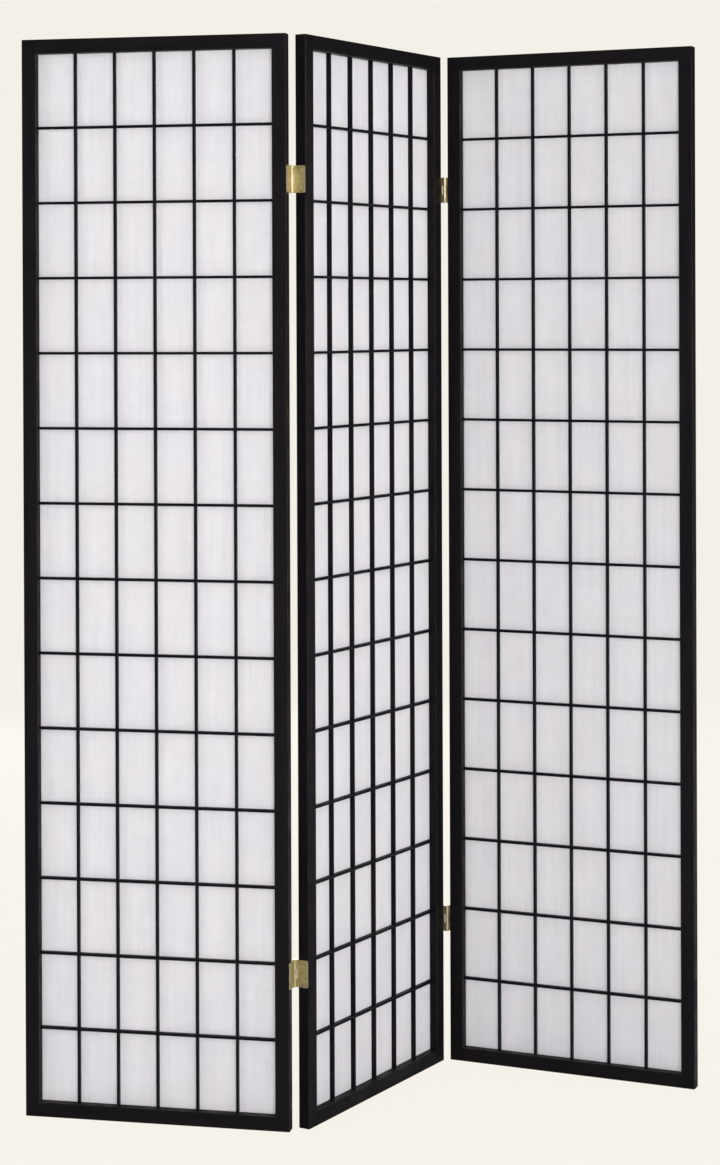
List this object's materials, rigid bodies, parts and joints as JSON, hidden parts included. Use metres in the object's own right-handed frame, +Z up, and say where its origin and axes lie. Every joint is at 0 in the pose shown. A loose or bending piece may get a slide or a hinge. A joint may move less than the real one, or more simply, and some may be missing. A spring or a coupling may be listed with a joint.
{
  "type": "folding screen",
  "caption": "Free-standing folding room divider: hinged black timber frames with a square lattice over translucent white paper, standing in a zigzag.",
  "frame": {"origin": "centre of the screen's box on the floor, in the zigzag of the picture", "axes": "+Z up; +X to the viewer's right along the row of panels; +Y away from the viewer, so the lattice faces look towards -Y"},
  "size_m": [1.1345, 0.421, 1.785],
  "materials": {
    "frame_lacquer": "black satin lacquer on softwood",
    "lattice_lacquer": "black satin lacquer on thin strips",
    "bead_lacquer": "black satin lacquer on a retaining bead",
    "paper": "translucent white fibre paper",
    "hinge_brass": "brushed brass plate",
    "screw_brass": "brass countersunk screw"
  },
  "bodies": {
    "middle_panel": {"left_lower_hinge_pin": "hinge_brass", "left_lower_hinge_two_knuckle_leaf": "hinge_brass", "left_upper_hinge_pin": "hinge_brass", "left_upper_hinge_two_knuckle_leaf": "hinge_brass", "middle_panel_bottom_bead": "bead_lacquer", "middle_panel_bottom_rail": "frame_lacquer", "middle_panel_horizontal_bars": "lattice_lacquer", "middle_panel_left_bead": "bead_lacquer", "middle_panel_left_stile": "frame_lacquer", "middle_panel_paper": "paper", "middle_panel_right_bead": "bead_lacquer", "middle_panel_right_stile": "frame_lacquer", "middle_panel_screws": "screw_brass", "middle_panel_top_bead": "bead_lacquer", "middle_panel_top_rail": "frame_lacquer", "middle_panel_vertical_bar_1": "lattice_lacquer", "middle_panel_vertical_bar_2": "lattice_lacquer", "middle_panel_vertical_bar_3": "lattice_lacquer", "middle_panel_vertical_bar_4": "lattice_lacquer", "middle_panel_vertical_bar_5": "lattice_lacquer", "right_lower_hinge_pin": "hinge_brass", "right_lower_hinge_two_knuckle_leaf": "hinge_brass", "right_upper_hinge_pin": "hinge_brass", "right_upper_hinge_two_knuckle_leaf": "hinge_brass"},
    "left_panel": {"left_lower_hinge_one_knuckle_leaf": "hinge_brass", "left_panel_bottom_bead": "bead_lacquer", "left_panel_bottom_rail": "frame_lacquer", "left_panel_horizontal_bars": "lattice_lacquer", "left_panel_left_bead": "bead_lacquer", "left_panel_left_stile": "frame_lacquer", "left_panel_paper": "paper", "left_panel_right_bead": "bead_lacquer", "left_panel_right_stile": "frame_lacquer", "left_panel_screws": "screw_brass", "left_panel_top_bead": "bead_lacquer", "left_panel_top_rail": "frame_lacquer", "left_panel_vertical_bar_1": "lattice_lacquer", "left_panel_vertical_bar_2": "lattice_lacquer", "left_panel_vertical_bar_3": "lattice_lacquer", "left_panel_vertical_bar_4": "lattice_lacquer", "left_panel_vertical_bar_5": "lattice_lacquer", "left_upper_hinge_one_knuckle_leaf": "hinge_brass"},
    "right_panel": {"right_lower_hinge_one_knuckle_leaf": "hinge_brass", "right_panel_bottom_bead": "bead_lacquer", "right_panel_bottom_rail": "frame_lacquer", "right_panel_horizontal_bars": "lattice_lacquer", "right_panel_left_bead": "bead_lacquer", "right_panel_left_stile": "frame_lacquer", "right_panel_paper": "paper", "right_panel_right_bead": "bead_lacquer", "right_panel_right_stile": "frame_lacquer", "right_panel_screws": "screw_brass", "right_panel_top_bead": "bead_lacquer", "right_panel_top_rail": "frame_lacquer", "right_panel_vertical_bar_1": "lattice_lacquer", "right_panel_vertical_bar_2": "lattice_lacquer", "right_panel_vertical_bar_3": "lattice_lacquer", "right_panel_vertical_bar_4": "lattice_lacquer", "right_panel_vertical_bar_5": "lattice_lacquer", "right_upper_hinge_one_knuckle_leaf": "hinge_brass"}
  },
  "joints": [
    {"name": "left_panel_fold", "type": "hinge", "parent": "middle_panel", "child": "left_panel", "pos_m": [-0.11846, -0.18695, 0], "axis": [0, 0, 1], "range_deg": [-109.3, 70.7]},
    {"name": "right_panel_fold", "type": "hinge", "parent": "middle_panel", "child": "right_panel", "pos_m": [0.14258, 0.18924, 0], "axis": [0, 0, 1], "range_deg": [-97.2, 82.8]}
  ]
}
